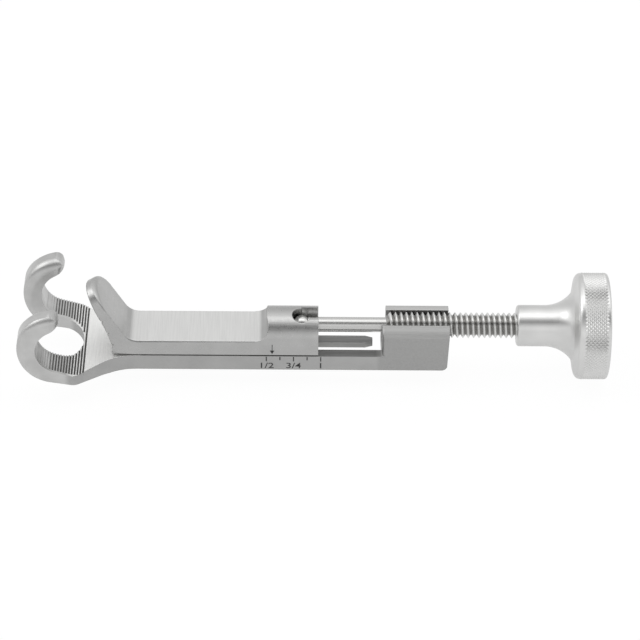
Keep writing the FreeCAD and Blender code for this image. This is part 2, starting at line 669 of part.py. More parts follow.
def rim_edge(x, inward):
    """Two bevels that ease one edge of the knob's rim, from its end face to its outside."""
    face = V(x, 0, KNOB_RADIUS - RIM_EDGE_WIDTH)
    middle = V(x + inward * RIM_EDGE_DEPTH, 0, KNOB_RADIUS - RIM_EDGE_DEPTH)
    side = V(x + inward * RIM_EDGE_WIDTH, 0, KNOB_RADIUS)
    return [face, middle, side]


def knob():
    """Turned knob: hub, trumpet flare and broad rim with eased edges."""
    rim_x = KNOB_BACK_X - RIM_LENGTH
    hub_end = HUB_START_X + HUB_LENGTH
    flare_run = rim_x - TRUMPET_SETBACK - hub_end
    flare_turn = math.degrees(math.asin(flare_run / TRUMPET_RADIUS))
    flare_centre = V(hub_end, 0, HUB_RADIUS + TRUMPET_RADIUS)
    flare_end = on_circle(flare_centre, TRUMPET_RADIUS, flare_turn - 90, ALONG_X, ALONG_Z)
    bore_end = HUB_START_X + TENON_LENGTH + PRESS_GAP
    bore_r = TENON_RADIUS + PRESS_GAP
    front_rim = rim_edge(rim_x, 1)
    back_rim = rim_edge(KNOB_BACK_X, -1)
    corners = [V(bore_end, 0, 0), V(bore_end, 0, bore_r), V(HUB_START_X, 0, bore_r)]
    corners += [V(HUB_START_X, 0, HUB_RADIUS - HUB_EDGE_BEVEL)]
    corners += [V(HUB_START_X + HUB_EDGE_BEVEL, 0, HUB_RADIUS), V(hub_end, 0, HUB_RADIUS)]
    rear = [flare_end] + front_rim + back_rim[::-1] + [V(KNOB_BACK_X, 0, 0), V(bore_end, 0, 0)]
    edges = [line(a, b) for a, b in zip(corners, corners[1:])]
    edges += [circle_arc(flare_centre, TRUMPET_RADIUS, -90, flare_turn - 90, ALONG_X, ALONG_Z)]
    edges += [line(a, b) for a, b in zip(rear, rear[1:])]
    return face_of(edges).revolve(V(0, 0, 0), ALONG_X, 360)


def pin_place(radius, end_y):
    """Cross pin through the hub, let in from the far side and stopping short of the near wall."""
    x = HUB_START_X + HUB_LENGTH / 2
    return rod(radius, -TENON_RADIUS - PRESS_GAP, end_y, x, ALONG_Y)


save(frame(), "frame")
save(sliding_jaw(), "sliding_jaw")
save(guide_foot(), "guide_foot")
save(foot_screws(), "foot_screws")
save(ball_end(), "ball_end")
save(screw().cut(pin_place(PIN_RADIUS + PRESS_GAP, REACH)), "screw")
save(knob().cut(pin_place(PIN_RADIUS + PRESS_GAP, REACH)), "knob")
save(pin_place(PIN_RADIUS, HUB_RADIUS - PIN_RECESS), "knob_pin")
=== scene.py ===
import math

import bmesh
import bpy
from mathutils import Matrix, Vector


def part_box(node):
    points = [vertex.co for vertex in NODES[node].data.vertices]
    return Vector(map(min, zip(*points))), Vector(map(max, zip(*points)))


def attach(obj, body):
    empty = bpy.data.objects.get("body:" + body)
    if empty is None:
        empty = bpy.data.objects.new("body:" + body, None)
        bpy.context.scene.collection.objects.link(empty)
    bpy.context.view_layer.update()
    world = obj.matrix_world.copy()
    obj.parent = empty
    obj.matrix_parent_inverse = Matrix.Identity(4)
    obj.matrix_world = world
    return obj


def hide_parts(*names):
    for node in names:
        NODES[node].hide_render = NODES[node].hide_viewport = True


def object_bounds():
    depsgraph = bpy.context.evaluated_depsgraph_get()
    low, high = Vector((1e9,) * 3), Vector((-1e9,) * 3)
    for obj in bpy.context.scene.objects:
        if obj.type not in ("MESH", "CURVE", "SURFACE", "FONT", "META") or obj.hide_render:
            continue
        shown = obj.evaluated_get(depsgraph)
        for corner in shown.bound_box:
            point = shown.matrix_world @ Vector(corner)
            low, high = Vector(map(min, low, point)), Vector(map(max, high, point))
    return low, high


# Bone holding forceps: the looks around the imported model, in metres.
# +X points to the knob, +Z is up, and the scale is on the -Y side.

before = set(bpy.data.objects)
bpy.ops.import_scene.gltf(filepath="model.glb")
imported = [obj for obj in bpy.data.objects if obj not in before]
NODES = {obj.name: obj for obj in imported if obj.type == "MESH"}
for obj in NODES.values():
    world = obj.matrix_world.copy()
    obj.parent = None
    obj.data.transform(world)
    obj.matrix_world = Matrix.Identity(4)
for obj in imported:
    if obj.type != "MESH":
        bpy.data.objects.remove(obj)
CAD_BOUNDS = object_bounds()

MM = 0.001
MERGE = 1e-7
CUTTER_PAST = 0.2 * MM

# Camera, as the photograph was taken
CAMERA_ELEVATION = 36.0
CAMERA_AZIMUTH = 1.0
CAMERA_DISTANCE = 675.0 * MM
CAMERA_ROLL = 0.95
CAMERA_NEAR = 0.01
CAMERA_FAR = 20.0
PICTURE_SIZE = 640
PIXELS_PER_MM = 4.27
SENSOR_WIDTH = 36.0
AIM_X = 1.45 * MM
AIM_RISE = 1.0 * MM

# Screw thread, of the coarse 20 to the inch kind, and the smooth parts in front of it
THREAD_PITCH = 1.27 * MM
THREAD_DEPTH = 0.76 * MM
THREAD_START_X = 16.95 * MM
THREAD_COLUMNS = 48
THREAD_SPARE_TURNS = 3
THREAD_MERGE = 2e-6
SCREW_IN_HUB = 0.5 * MM
NECK_RADIUS = 1.75 * MM
NECK_COLUMNS = 64
NECK_GAP = 0.05 * MM
NECK_IN_THREAD = 0.5 * MM
NOSE_RADIUS = 1.0 * MM
NOSE_COLUMNS = 32
NOSE_IN_NECK = 0.1 * MM
NOSE_IN_HEAD = 0.05 * MM
NOSE_HEAD_RADIUS = 1.25 * MM
NOSE_HEAD_LENGTH = 0.35 * MM
SCREW_SHARP_ANGLE = 40

# One thread, as (share of the pitch, share of the depth): a sharp V with a small flat
THREAD_PROFILE = ((0.0, 0.0), (0.08, 0.0), (0.3, 0.55), (0.49, 1.0), (0.59, 1.0), (0.78, 0.55))

# Thread of the open nut, whose ridges lie in the valleys of the screw
NUT_RADIUS = 3.1 * MM
NUT_IN_WALL = 0.04 * MM
NUT_THREAD_DEPTH = 0.45 * MM
NUT_THREAD_ROOT = 0.35
NUT_THREAD_CREST = 0.06
NUT_VALLEY = 0.04
NUT_START_ANGLE = 205.0
NUT_END_ANGLE = 335.0
NUT_COLUMNS = 26
NUT_RUN_IN = 6
NUT_FIRST_HEIGHT = 0.08
NUT_END_MARGIN = 0.6 * MM

# Inside of the hooks: flat runway, rise and bend
RUNWAY_Z = -4.75 * MM
RISE_ANGLE = 16.0
BEND_X = -58.25 * MM
BEND_Z = 2.1 * MM
BEND_RADIUS = 5.9 * MM
CROTCH_CENTRE_X = -58.75 * MM
CROTCH_LENGTH = 4.9 * MM
HALF_GAP = 7.3 * MM

# Fine teeth across the insides of the hooks
TOOTH_PITCH = 0.65 * MM
TOOTH_DEPTH = 0.3 * MM
TOOTH_HALF_SHARE = 0.44
TOOTH_TOP_SHARE = 0.25
TEETH_START_X = -53.05 * MM
TEETH_END_ANGLE = 212.0
TEETH_EDGE = 0.7 * MM
TEETH_CROTCH_EDGE = 0.9 * MM
TEETH_FADE = 6
TEETH_OUTSIDE = 16.0 * MM

# Rounded ends of the hooks
TIP_Z = 6.5 * MM
TIP_REACH = 3.0 * MM
TIP_ROUND = 2.3 * MM
TIP_NARROWING = 0.7
TIP_CUTS = (0.04, 0.12, 0.25, 0.4, 0.6, 0.8, 1.0)
TIP_CUT_SNAP = 1e-6

# Edges sharper than this stay sharp on frame and jaw, and flat faces stay flat by this weight
SHARP_ANGLE = 13.0
FLAT_WEIGHT = 90

# Jaw's broken lower edges and lifted front
JAW_EDGE = 0.3 * MM
JAW_LEAD_RISE = 0.5 * MM
JAW_LEAD_START_X = -46.95 * MM
JAW_LEAD_END_X = -37.5 * MM
JAW_LEAD_PAST_X = -53.0 * MM

# Driver slots of the foot's screws
SLOT_WIDTH = 0.6 * MM
SLOT_DEPTH = 0.45 * MM
SLOT_REACH = 1.2
FOOT_SCREW_SHARP_ANGLE = 30

# Knob
HUB_RADIUS = 4.85 * MM
HUB_LENGTH = 6.6 * MM
HUB_EDGE = 0.7 * MM
HUB_EDGE_STEPS = 6
TRUMPET_RADIUS = 7.9 * MM
TRUMPET_SETBACK = 0.6 * MM
TRUMPET_STEPS = 16
RIM_LENGTH = 7.6 * MM
RIM_EDGE = 1.4 * MM
RIM_BACK_EDGE = 0.6 * MM
RIM_EDGE_STEPS = 7
RIM_DROP = 0.05 * MM
KNURL_COUNT = 88
KNURL_DEPTH = 0.24 * MM
KNOB_SHARP_ANGLE = 24

# Scale on the rail
INCH = 25.4 * MM
ONE_INCH_X = 1.65 * MM
TICK_COUNT = 5
TICKS_PER_INCH = 8
TICK_WIDTH = 0.28 * MM
TICK_GAP = 0.15 * MM
LONG_TICK = 1.3 * MM
SHORT_TICK = 0.95 * MM
DIGIT_SIZE = 2.2 * MM
DIGIT_STRETCH = 1.3
DIGIT_FOOT_Z = -8.15 * MM
DIGIT_BOLDNESS = 0.02 * MM
DIGIT_HALF_DEPTH = 0.03 * MM
DIGIT_STEPS = 4
DIGITS = (("1", 0), ("3/4", 2), ("1/2", 4))

# Arrow on the jaw
ARROW_X = -9.7 * MM
ARROW_TOP_Z = -1.5 * MM
ARROW_TIP_Z = -4.1 * MM
ARROW_SHAFT = 0.18 * MM
ARROW_IN_HEAD = 0.3 * MM
ARROW_HEAD_LENGTH = 1.0 * MM
ARROW_HEAD_WIDTH = 1.1 * MM

# How far a mark stands out of the steel, and reaches into it
MARK_STAND = 0.012 * MM
MARK_DEPTH = 0.05 * MM

# Light about the X axis: degrees from the front horizon over the top, and the level there
SKY = (
    (0, 0.56), (20, 0.78), (36, 0.6), (47, 0.33), (53, 0.12), (60, 0.12), (69, 0.4), (79, 0.7),
    (92, 0.88), (103, 0.9), (116, 0.84), (126, 0.78), (136, 0.66), (144, 0.6), (160, 0.56), (180, 0.56),
)
SKY_STRENGTH = 1.25

# Lamps: name, place, width, depth and power
LAMPS = (
    ("top_softbox", (0.0, 0.05, 0.8), 0.9, 0.35, 0.5),
    ("left_softbox", (-0.7, 0.1, 0.6), 0.4, 0.4, 0.55),
)

# Floor: its colour, its white, and the share of white that is seen directly and in the steel
FLOOR_SIZE = 3.0
FLOOR_COLOUR = 0.6
FLOOR_WHITE = 1.06
FLOOR_WHITE_SHARE = 0.9
FLOOR_SHINE = 0.55


# Objects

def link(name, mesh):
    obj = bpy.data.objects.new(name, mesh)
    bpy.context.scene.collection.objects.link(obj)
    return obj


def to_object(bm, name):
    mesh = bpy.data.meshes.new(name)
    bm.normal_update()
    bm.to_mesh(mesh)
    bm.free()
    return link(name, mesh)


def smooth(obj, degrees):
    """Smooth shading, apart from edges sharper than an angle."""
    mesh = obj.data
    mesh.polygons.foreach_set("use_smooth", [True] * len(mesh.polygons))
    mesh.set_sharp_from_angle(angle=math.radians(degrees))
    mesh.update()


def keep_flats(obj):
    """Shading in which large flat faces stay flat beside their rounded edges."""
    modifier = obj.modifiers.new("flats", "WEIGHTED_NORMAL")
    modifier.keep_sharp = True
    modifier.weight = FLAT_WEIGHT


def paint(obj, material):
    obj.data.materials.clear()
    obj.data.materials.append(material)


def dress(obj, body, material):
    paint(obj, material)
    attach(obj, body)


# Meshes

def band(bm, near, far):
    """Four-sided faces between two rings of the same length."""
    count = len(near)
    for i in range(count):
        j = (i + 1) % count
        bm.faces.new([near[i], near[j], far[j], far[i]])


def loft(bm, rings):
    """Closed skin over rings of points, with a flat face at each end."""
    rings = [[bm.verts.new(point) for point in ring] for ring in rings]
    for near, far in zip(rings, rings[1:]):
        band(bm, near, far)
    bm.faces.new(rings[0])
    bm.faces.new(rings[-1][::-1])


def bar_across(bm, corners, start, end):
    """Bar along Y through (x, z) corners."""
    loft(bm, [[(x, y, z) for x, z in corners] for y in (start, end)])


def bar_along(bm, corners, start, end):
    """Bar along X through (y, z) corners."""
    loft(bm, [[(x, y, z) for y, z in corners] for x in (start, end)])


def around(x, radius, angle):
    """Point at a radius and an angle about the screw's axis."""
    return (x, radius * math.cos(angle), radius * math.sin(angle))


def circle(x, radius, count):
    """Points of a circle about the screw's axis."""
    turn = 2 * math.pi / count
    return [around(x, radius, i * turn) for i in range(count)]


def turned(bm, profile, count):
    """Closed solid of revolution about the screw's axis from (x, radius) points."""
    loft(bm, [circle(x, radius, count) for x, radius in profile])


def quarter(steps):
    """Angles of a quarter turn in even steps."""
    return [math.pi / 2 * k / steps for k in range(steps + 1)]


def outward(bm):
    bmesh.ops.recalc_face_normals(bm, faces=bm.faces)


def mesh_copy(node, name):
    """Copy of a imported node's mesh with its seams closed, to cut detail into."""
    bm = bmesh.new()
    bm.from_mesh(NODES[node].data)
    bmesh.ops.remove_doubles(bm, verts=bm.verts, dist=MERGE)
    return to_object(bm, name)


def cut(obj, cutter):
    """Cuts one mesh out of another for good, and removes the cutter."""
    modifier = obj.modifiers.new("cut", "BOOLEAN")
    modifier.operation = "DIFFERENCE"
    modifier.solver = "EXACT"
    modifier.object = cutter
    graph = bpy.context.evaluated_depsgraph_get()
    mesh = bpy.data.meshes.new_from_object(obj.evaluated_get(graph))
    obj.modifiers.clear()
    old = obj.data
    obj.data = mesh
    bpy.data.meshes.remove(old)
    bpy.data.objects.remove(cutter)


# Shader parts

def connect(tree, socket, value):
    """Gives an input a number or a colour, or links an output to it."""
    if isinstance(value, (int, float)):
        socket.default_value = value
    elif isinstance(value, tuple):
        socket.default_value = (*value, 1)
    else:
        tree.links.new(value, socket)


def new_tree(owner):
    """Empties the nodes of a material or world."""
    owner.use_nodes = True
    owner.node_tree.nodes.clear()
    return owner.node_tree


def new_material(name):
    material = bpy.data.materials.new(name)
    tree = new_tree(material)
    output = tree.nodes.new("ShaderNodeOutputMaterial")
    shader = tree.nodes.new("ShaderNodeBsdfPrincipled")
    tree.links.new(shader.outputs["BSDF"], output.inputs["Surface"])
    return material, tree, shader


def object_place(tree):
    return tree.nodes.new("ShaderNodeTexCoord").outputs["Object"]


def separate(tree, vector):
    node = tree.nodes.new("ShaderNodeSeparateXYZ")
    tree.links.new(vector, node.inputs[0])
    return node.outputs


def calculated(tree, operation, *values):
    node = tree.nodes.new("ShaderNodeMath")
    node.operation = operation
    for socket, value in zip(node.inputs, values):
        connect(tree, socket, value)
    return node.outputs[0]


def noise(tree, scale, stretch, detail=3.0, roughness=0.55):
    """Noise in the object's own coordinates, stretched by a factor along each axis."""
    mapping = tree.nodes.new("ShaderNodeMapping")
    mapping.inputs["Scale"].default_value = stretch
    texture = tree.nodes.new("ShaderNodeTexNoise")
    texture.inputs["Scale"].default_value = scale
    texture.inputs["Detail"].default_value = detail
    texture.inputs["Roughness"].default_value = roughness
    tree.links.new(object_place(tree), mapping.inputs["Vector"])
    tree.links.new(mapping.outputs["Vector"], texture.inputs["Vector"])
    return texture.outputs["Fac"]


def ranged(tree, value, low, high, low_in=0.3, high_in=0.7):
    """Stretches a value from one range to another, and holds it at the ends."""
    node = tree.nodes.new("ShaderNodeMapRange")
    node.inputs["From Min"].default_value = low_in
    node.inputs["From Max"].default_value = high_in
    node.inputs["To Min"].default_value = low
    node.inputs["To Max"].default_value = high
    tree.links.new(value, node.inputs["Value"])
    return node.outputs["Result"]


def mixed(tree, kind, mask, low, high):
    node = tree.nodes.new("ShaderNodeMix")
    node.data_type = kind
    for name, value in (("Factor", mask), ("A", low), ("B", high)):
        connect(tree, node.inputs[name], value)
    return node.outputs["Result"]


def mixed_colour(tree, mask, low, high):
    """One colour or another, by a mask."""
    return mixed(tree, "RGBA", mask, low, high)


def mixed_number(tree, mask, low, high):
    """One number or another, by a mask."""
    return mixed(tree, "FLOAT", mask, low, high)


def between(tree, low_x, high_x):
    """1 between two places along the instrument and 0 elsewhere, with soft ends."""
    x = separate(tree, object_place(tree))["X"]
    above = ranged(tree, x, 0.0, 1.0, low_x - ZONE_BLEND, low_x + ZONE_BLEND)
    below = ranged(tree, x, 1.0, 0.0, high_x - ZONE_BLEND, high_x + ZONE_BLEND)
    return calculated(tree, "MULTIPLY", above, below)


def near_side(tree):
    """1 on the scale's side of the screw, and 0 beyond it."""
    return ranged(tree, separate(tree, object_place(tree))["Y"], 1.0, 0.0, -ZONE_BLEND, ZONE_BLEND)


def upward(tree, least):
    """1 where the surface faces up more than a share, and 0 elsewhere."""
    normal = tree.nodes.new("ShaderNodeNewGeometry").outputs["True Normal"]
    return ranged(tree, separate(tree, normal)["Z"], 0.0, 1.0, least - UPWARD_BLEND, least + UPWARD_BLEND)


def painted_groove_shade(tree, colour, zone):
    """Painted shade: darkens narrow grooves in one zone, where light doesn't reach."""
    depth = tree.nodes.new("ShaderNodeAmbientOcclusion")
    depth.samples = GROOVE_SAMPLES
    depth.inputs["Distance"].default_value = GROOVE_REACH
    shade = ranged(tree, depth.outputs["AO"], 0.0, 1.0, GROOVE_SHUT, GROOVE_OPEN)
    open_share = calculated(tree, "MAXIMUM", shade, calculated(tree, "SUBTRACT", 1.0, zone))
    return mixed_colour(tree, open_share, GROOVE_SHADE_COLOUR, colour)


def bump(tree, shader, height, strength, distance, edge_radius, sharp_zone=None):
    """Fine relief over softly rounded edges, which stay sharper in one zone."""
    rounded = tree.nodes.new("ShaderNodeBevel")
    rounded.samples = EDGE_SAMPLES
    radius = edge_radius if sharp_zone is None else mixed_number(tree, sharp_zone, edge_radius, FINE_EDGE)
    connect(tree, rounded.inputs["Radius"], radius)
    node = tree.nodes.new("ShaderNodeBump")
    node.inputs["Strength"].default_value = strength
    node.inputs["Distance"].default_value = distance
    tree.links.new(height, node.inputs["Height"])
    tree.links.new(rounded.outputs["Normal"], node.inputs["Normal"])
    tree.links.new(node.outputs["Normal"], shader.inputs["Normal"])


# Materials

def grey(shade):
    """Very slightly warm grey of steel."""
    return (shade, shade, shade * BLUE_SHARE)


def finish_and_painted_tone(start, end, up, shade, spread, roughness, scale, stretch, near_only=False):
    """Finish of its own, and a tone painted for the light or shade there, from one x to another, on faces
    that look up by more than a share.
    """
    def lay(tree, colour, base_roughness):
        zone = calculated(tree, "MULTIPLY", between(tree, start, end), upward(tree, up))
        if near_only:
            zone = calculated(tree, "MULTIPLY", zone, near_side(tree))
        pattern = ranged(tree, noise(tree, scale, stretch, detail=2.0), 0.0, 1.0)
        painted_tone = mixed_colour(tree, pattern, grey(shade - spread), grey(shade + spread))
        return mixed_colour(tree, zone, colour, painted_tone), mixed_number(tree, zone, base_roughness, roughness)
    return lay


def steel(name, base, rough, grain, edge_radius, relief=0.25, zones=(), sharp=None, groove_shade_zone=None):
    """Polished steel with its grain along one direction, and zones with a finish of their own and a tone
    painted lighter or darker for the light they get.
    """
    material, tree, shader = new_material(name)
    fine = noise(tree, FINE_GRAIN, grain)
    tone = ranged(tree, noise(tree, BROAD_TONE, EVEN, detail=2.0), 0.0, 1.0)
    light = tuple(min(1.0, c * TONE_LIGHT) for c in base)
    dark = tuple(c * TONE_DARK for c in base)
    colour = mixed_colour(tree, tone, dark, light)
    roughness = ranged(tree, fine, *rough)
    for lay in zones:
        colour, roughness = lay(tree, colour, roughness)
    if groove_shade_zone:
        colour = painted_groove_shade(tree, colour, between(tree, *groove_shade_zone))
    tree.links.new(colour, shader.inputs["Base Color"])
    tree.links.new(roughness, shader.inputs["Roughness"])
    shader.inputs["Metallic"].default_value = 1.0
    bump(tree, shader, fine, relief, RELIEF_HEIGHT, edge_radius, between(tree, *sharp) if sharp else None)
    return material


def thread_steel(name, light, dark, rough):
    """Bright crests over valleys darkened as painted shade, and a fairly bright neck in front of the
    thread.
    """
    material, tree, shader = new_material(name)
    fine = noise(tree, FINE_GRAIN, ROUND)
    place = separate(tree, object_place(tree))
    across = calculated(tree, "MULTIPLY", place["Y"], place["Y"])
    up = calculated(tree, "MULTIPLY", place["Z"], place["Z"])
    radius = calculated(tree, "SQRT", calculated(tree, "ADD", across, up))
    # Painted shade: darker towards the valleys, by the distance from the axis
    crest = ranged(tree, radius, 0.0, 1.0, THREAD_SHADED_RADIUS, THREAD_BRIGHT_RADIUS)
    neck = calculated(tree, "LESS_THAN", place["X"], THREAD_START_X)
    bright = calculated(tree, "MAXIMUM", crest, calculated(tree, "MULTIPLY", neck, NECK_BRIGHTNESS))
    lit_and_worn = calculated(tree, "MULTIPLY", bright, ranged(tree, fine, CREST_WEAR, 1.0))
    tree.links.new(mixed_colour(tree, lit_and_worn, dark, light), shader.inputs["Base Color"])
    tree.links.new(ranged(tree, fine, *rough), shader.inputs["Roughness"])
    shader.inputs["Metallic"].default_value = 1.0
    bump(tree, shader, fine, THREAD_RELIEF, THREAD_RELIEF_HEIGHT, FINE_EDGE)
    return material


def ink(name, dark, light):
    """Blackened bottom of an engraved mark."""
    material, tree, shader = new_material(name)
    speck = ranged(tree, noise(tree, INK_SPECKS, EVEN), 0.0, 1.0)
    tree.links.new(mixed_colour(tree, speck, dark, light), shader.inputs["Base Color"])
    shader.inputs["Roughness"].default_value = INK_ROUGHNESS
    return material


# Directions of the grain, as stretches along X, Y and Z, and sizes of the patterns
ACROSS = (1.0, 0.04, 1.0)
LENGTHWISE = (0.04, 1.0, 1.0)
ROUND = (1.0, 0.12, 0.12)
EVEN = (1.0, 1.0, 1.0)
FINE_GRAIN = 2600
GROUND_GRAIN = 3200
BROAD_TONE = 160
HAND_POLISH = 200
INK_SPECKS = 9000

# Tones of the steel, its relief and its rounded edges
BLUE_SHARE = 0.99
TONE_LIGHT = 1.04
TONE_DARK = 0.94
RELIEF_HEIGHT = 0.004 * MM
FINE_EDGE = 0.03 * MM
EDGE_SAMPLES = 12
INK_ROUGHNESS = 0.65

# Painted shade in the grooves of teeth and jaw, darkest where little light reaches
GROOVE_SHADE_COLOUR = (0.2, 0.197, 0.19)
GROOVE_REACH = 0.5 * MM
GROOVE_SAMPLES = 8
GROOVE_SHUT = 0.35
GROOVE_OPEN = 0.85

# Thread: radii between which it turns from painted valley shade to bright, its wear and its relief
THREAD_SHADED_RADIUS = 2.3 * MM
THREAD_BRIGHT_RADIUS = 2.85 * MM
CREST_WEAR = 0.9
NECK_BRIGHTNESS = 0.62
THREAD_RELIEF = 0.2
THREAD_RELIEF_HEIGHT = 0.003 * MM

# Stretches along X with a finish of their own, and a painted tone: lighter where light falls, darker where
# shade falls
ZONE_BLEND = 0.5 * MM
UPWARD_BLEND = 0.06
ANY_WAY = -2.0
# Hooks: blotchy hand-polished tone, painted lighter than the rest of the frame
HOOKS = finish_and_painted_tone(-70.0 * MM, -57.0 * MM, ANY_WAY, 0.6, 0.06, 0.34, HAND_POLISH, EVEN)
# Fork's flat top: ground grain, painted much lighter as lit from above
FORK_TOP = finish_and_painted_tone(-57.0 * MM, -40.0 * MM, 0.93, 0.96, 0.03, 0.62, GROUND_GRAIN, ACROSS)
# Rails' tops: painted shade
RAIL_TOPS = finish_and_painted_tone(-15.0 * MM, 16.0 * MM, 0.93, 0.26, 0.03, 0.45, FINE_GRAIN, LENGTHWISE)
# Block: painted darker all round
BLOCK = finish_and_painted_tone(15.0 * MM, 33.0 * MM, ANY_WAY, 0.42, 0.02, 0.4, FINE_GRAIN, ACROSS)
# Far top of the block: painted lighter as lit from above
BLOCK_FAR_TOP = finish_and_painted_tone(16.0 * MM, 33.0 * MM, 0.55, 0.6, 0.02, 0.42, FINE_GRAIN, LENGTHWISE)
# Near shoulder of the block: tone painted for the light it gets, and rougher
BLOCK_SHOULDER = finish_and_painted_tone(16.0 * MM, 33.0 * MM, 0.3, 0.55, 0.02, 0.7, FINE_GRAIN, LENGTHWISE, near_only=True)
# Jaw's saddle: ground grain, painted lighter as lit from above
SADDLE = finish_and_painted_tone(-43.0 * MM, -12.0 * MM, 0.9, 0.76, 0.03, 0.5, GROUND_GRAIN, ACROSS)
# Top of the foot's bar: painted shade
BAR_TOP = finish_and_painted_tone(-25.0 * MM, 15.0 * MM, 0.9, 0.26, 0.03, 0.45, FINE_GRAIN, LENGTHWISE)

# Stretches along X with sharper edges, and with painted shade in their grooves
TEETH = (-70.0 * MM, -52.5 * MM)
JAW_FACE = (-54.0 * MM, -44.5 * MM)

FRAME_STEEL = steel(
    "frame_steel_look", grey(0.48), (0.34, 0.46), ACROSS, 0.3 * MM,
    zones=(HOOKS, FORK_TOP, RAIL_TOPS, BLOCK, BLOCK_FAR_TOP, BLOCK_SHOULDER), sharp=TEETH, groove_shade_zone=TEETH,
)
JAW_STEEL = steel(
    "jaw_steel_look", grey(0.52), (0.26, 0.36), ACROSS, 0.35 * MM, zones=(SADDLE,), groove_shade_zone=JAW_FACE,
)
FOOT_STEEL = steel("foot_steel_look", grey(0.64), (0.35, 0.5), LENGTHWISE, 0.12 * MM, zones=(BAR_TOP,))
# Screw: bright crests, and valleys painted darker as shade
SCREW_STEEL = thread_steel("screw_steel_look", grey(0.85), (0.34, 0.335, 0.325), (0.2, 0.3))
BALL_STEEL = steel("ball_steel_look", (0.7, 0.7, 0.69), (0.14, 0.22), EVEN, FINE_EDGE)
KNOB_STEEL = steel("knob_steel_look", grey(0.77), (0.28, 0.34), ROUND, FINE_EDGE, relief=0.06)
MARK_INK = ink("mark_ink_look", (0.035, 0.035, 0.035), (0.09, 0.09, 0.09))


# Frame, with its fine teeth and rounded tips

def bend_point(degrees):
    """Point on the inside of the hooks' bend."""
    angle = math.radians(degrees)
    return Vector((BEND_X + BEND_RADIUS * math.cos(angle), 0, BEND_Z + BEND_RADIUS * math.sin(angle)))


def tooth_places():
    """Places and upward directions of the teeth: along the flat, up the rise and round the bend."""
    bend_start_angle = 270 - RISE_ANGLE
    rise_end = bend_point(bend_start_angle)
    slope = math.tan(math.radians(RISE_ANGLE))
    rise_start = Vector((rise_end.x + (rise_end.z - RUNWAY_Z) / slope, 0, RUNWAY_Z))
    flat = TEETH_START_X - rise_start.x
    rise = (rise_start - rise_end).length
    bend = math.radians(bend_start_angle - TEETH_END_ANGLE) * BEND_RADIUS
    places = []
    s = TOOTH_PITCH / 2
    while s < flat + rise + bend:
        if s < flat:
            places.append((Vector((TEETH_START_X - s, 0, RUNWAY_Z)), 90.0))
        elif s < flat + rise:
            share = (s - flat) / rise
            places.append((rise_start.lerp(rise_end, share), 90.0 - RISE_ANGLE))
        else:
            angle = bend_start_angle - math.degrees((s - flat - rise) / BEND_RADIUS)
            places.append((bend_point(angle), angle - 180))
        s += TOOTH_PITCH
    return places


def crotch_half_width(x):
    """Half the gap between the two hooks, which narrows to nothing at the crotch."""
    share = (x - CROTCH_CENTRE_X) / CROTCH_LENGTH
    if share < 0:
        return HALF_GAP
    return HALF_GAP * math.sqrt(max(0.0, 1 - share * share))


def teeth_cutter():
    """Grooves between the teeth. On the scale's side they stop short of the outer edge, and on the
    other side short of the crotch."""
    bm = bmesh.new()
    half = TOOTH_PITCH * TOOTH_HALF_SHARE
    edge_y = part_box("frame")[0].y + TEETH_EDGE
    places = tooth_places()
    for number, (place, up_angle) in enumerate(places):
        left = len(places) - number
        depth = TOOTH_DEPTH * min(1.0, left / TEETH_FADE)
        up = Vector((math.cos(math.radians(up_angle)), 0, math.sin(math.radians(up_angle))))
        along = Vector((up.z, 0, -up.x))
        top = place + up * depth * TOOTH_TOP_SHARE
        corners = [(c.x, c.z) for c in (place - up * depth, top + along * half, top - along * half)]
        gap = crotch_half_width(place.x)
        if gap < TEETH_CROTCH_EDGE:
            bar_across(bm, corners, edge_y, TEETH_OUTSIDE)
        else:
            bar_across(bm, corners, edge_y, 0)
            bar_across(bm, corners, gap + TEETH_CROTCH_EDGE, TEETH_OUTSIDE)
    outward(bm)
    return to_object(bm, "teeth_cutter")


def divide_tips(bm, tip_x):
    """Adds rows of points across the hooks' ends, which can then be moved."""
    for share in TIP_CUTS:
        plane = Vector((tip_x - TIP_ROUND * share, 0, 0))
        centres = [(f, f.calc_center_median()) for f in bm.faces]
        near = [f for f, centre in centres if centre.z > TIP_Z and centre.x > tip_x - TIP_REACH]
        edges = {e for f in near for e in f.edges}
        verts = {v for f in near for v in f.verts}
        geometry = list(verts) + list(edges) + near
        bmesh.ops.bisect_plane(bm, geom=geometry, plane_co=plane, plane_no=(1, 0, 0), dist=TIP_CUT_SNAP)


def round_tips(obj):
    """Narrows the last stretch of each hook, so that it ends like a fingertip."""
    tip_x = max(v.co.x for v in obj.data.vertices if v.co.z > TIP_Z)
    bm = bmesh.new()
    bm.from_mesh(obj.data)
    divide_tips(bm, tip_x)
    for side in (-1, 1):
        tip = [v for v in bm.verts if v.co.z > TIP_Z and v.co.x > tip_x - TIP_ROUND and v.co.y * side > 0]
        middle_y = (min(v.co.y for v in tip) + max(v.co.y for v in tip)) / 2
        middle_z = (min(v.co.z for v in tip) + max(v.co.z for v in tip)) / 2
        for v in tip:
            share = 1 - (tip_x - v.co.x) / TIP_ROUND
            keep = 1 - TIP_NARROWING * (1 - math.sqrt(max(0.0, 1 - share * share)))
            v.co.y = middle_y + (v.co.y - middle_y) * keep
            v.co.z = middle_z + (v.co.z - middle_z) * keep
    bm.to_mesh(obj.data)
    bm.free()


def make_frame():
    obj = mesh_copy("frame", "toothed_frame")
    round_tips(obj)
    cut(obj, teeth_cutter())
    smooth(obj, SHARP_ANGLE)
    keep_flats(obj)
    dress(obj, "frame_body", FRAME_STEEL)
    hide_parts("frame")


# Thread of the open nut

